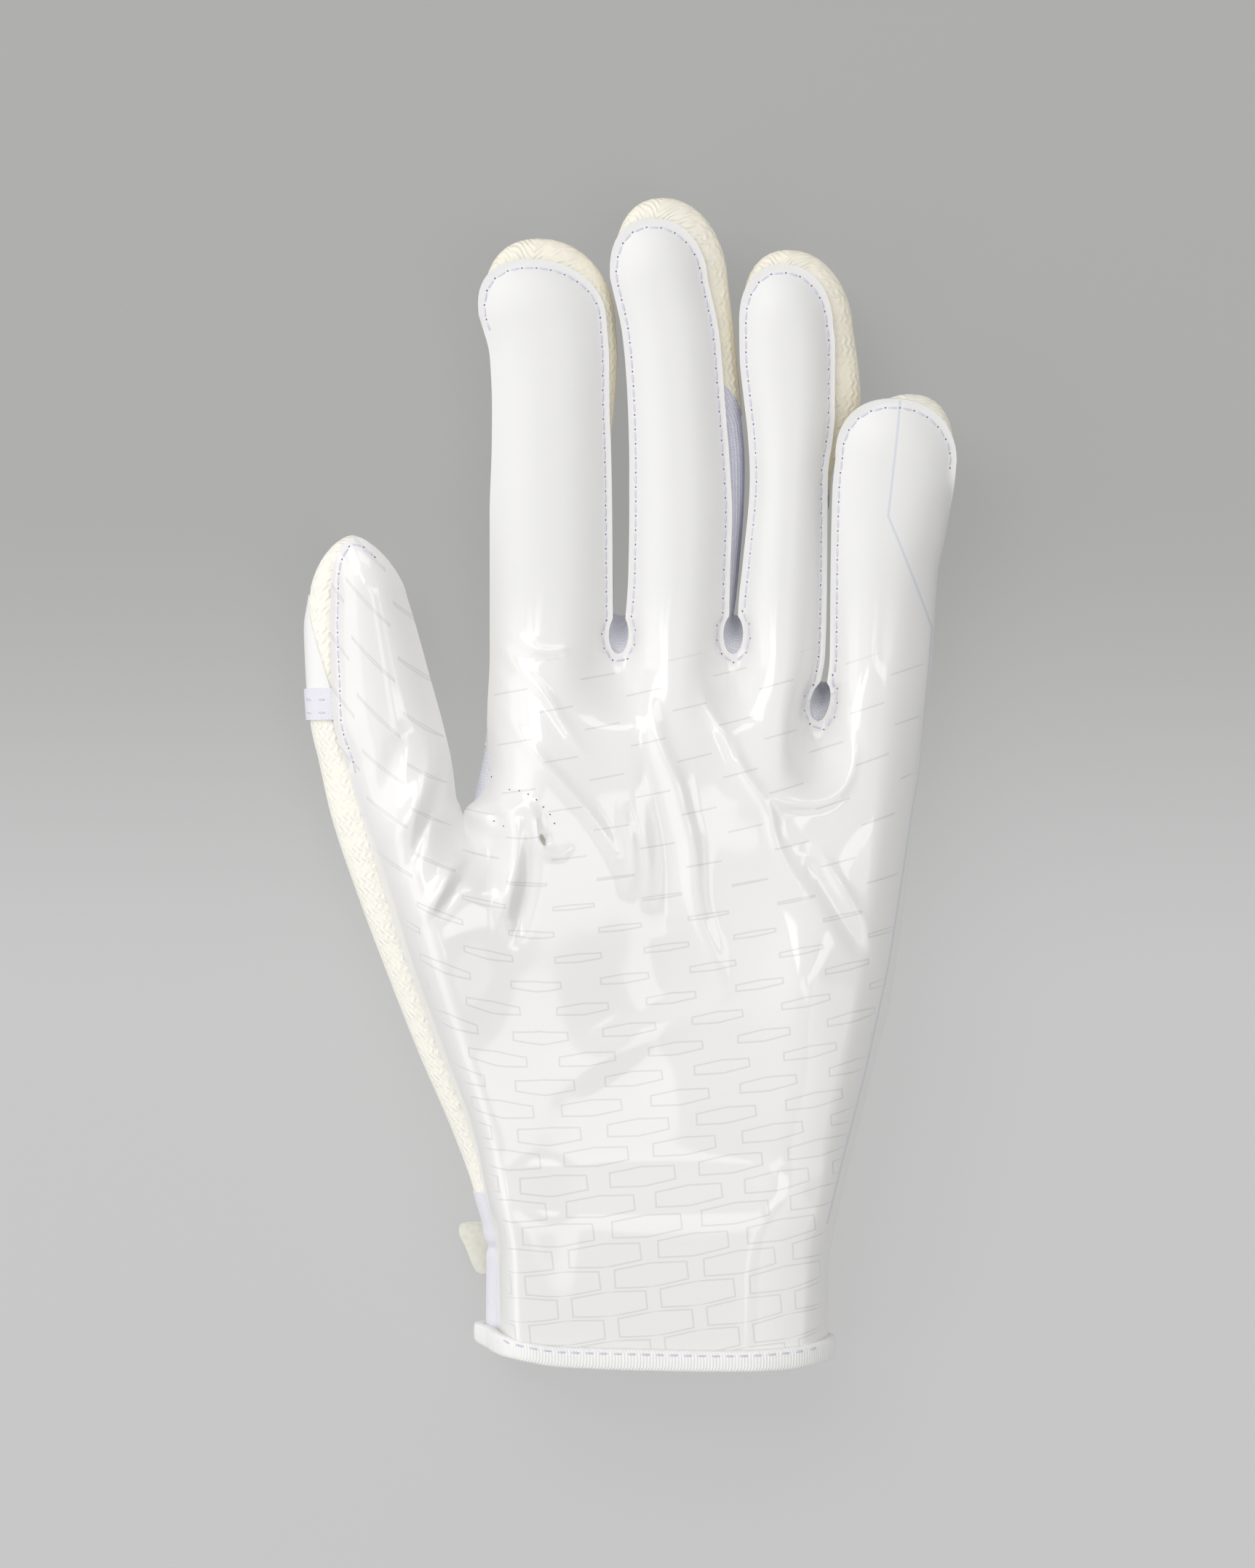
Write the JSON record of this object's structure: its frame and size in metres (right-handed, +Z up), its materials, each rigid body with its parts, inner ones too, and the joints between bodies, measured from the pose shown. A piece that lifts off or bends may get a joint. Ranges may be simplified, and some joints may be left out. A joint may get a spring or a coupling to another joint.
{
  "type": "football glove",
  "caption": "Left-hand sport glove with a one-piece glossy palm panel, knit back, mesh finger side walls and a bound wrist hem, lying palm up.",
  "frame": {"origin": "middle of the lower face of the whole glove's box, on the surface that it rests on", "axes": "+Z up out of the palm, +Y towards the fingertips, -X towards the thumb"},
  "size_m": [0.1264, 0.2258, 0.0273],
  "materials": {
    "palm_silicone": "glossy white silicone over thin synthetic leather, faint printed grey lines",
    "knit": "cream knit with a small raised ripple",
    "side_mesh": "fine ribbed lavender-grey mesh",
    "smooth_patch": "smooth satin white film",
    "tape": "flat woven tape, white with a faint lavender tone",
    "suede": "brushed cream suede",
    "binding": "fine ribbed elastic binding, white"
  },
  "bodies": {
    "root": {"palm": "palm_silicone", "back": "knit", "thumb_gusset": "side_mesh", "fourchette_index_middle": "side_mesh", "fourchette_middle_ring": "side_mesh", "fourchette_ring_pinky": "side_mesh", "thumb_patch": "smooth_patch", "thumb_tape": "tape", "wrist_strip": "tape", "pull_tab": "suede", "cuff_binding": "binding"}
  },
  "joints": []
}
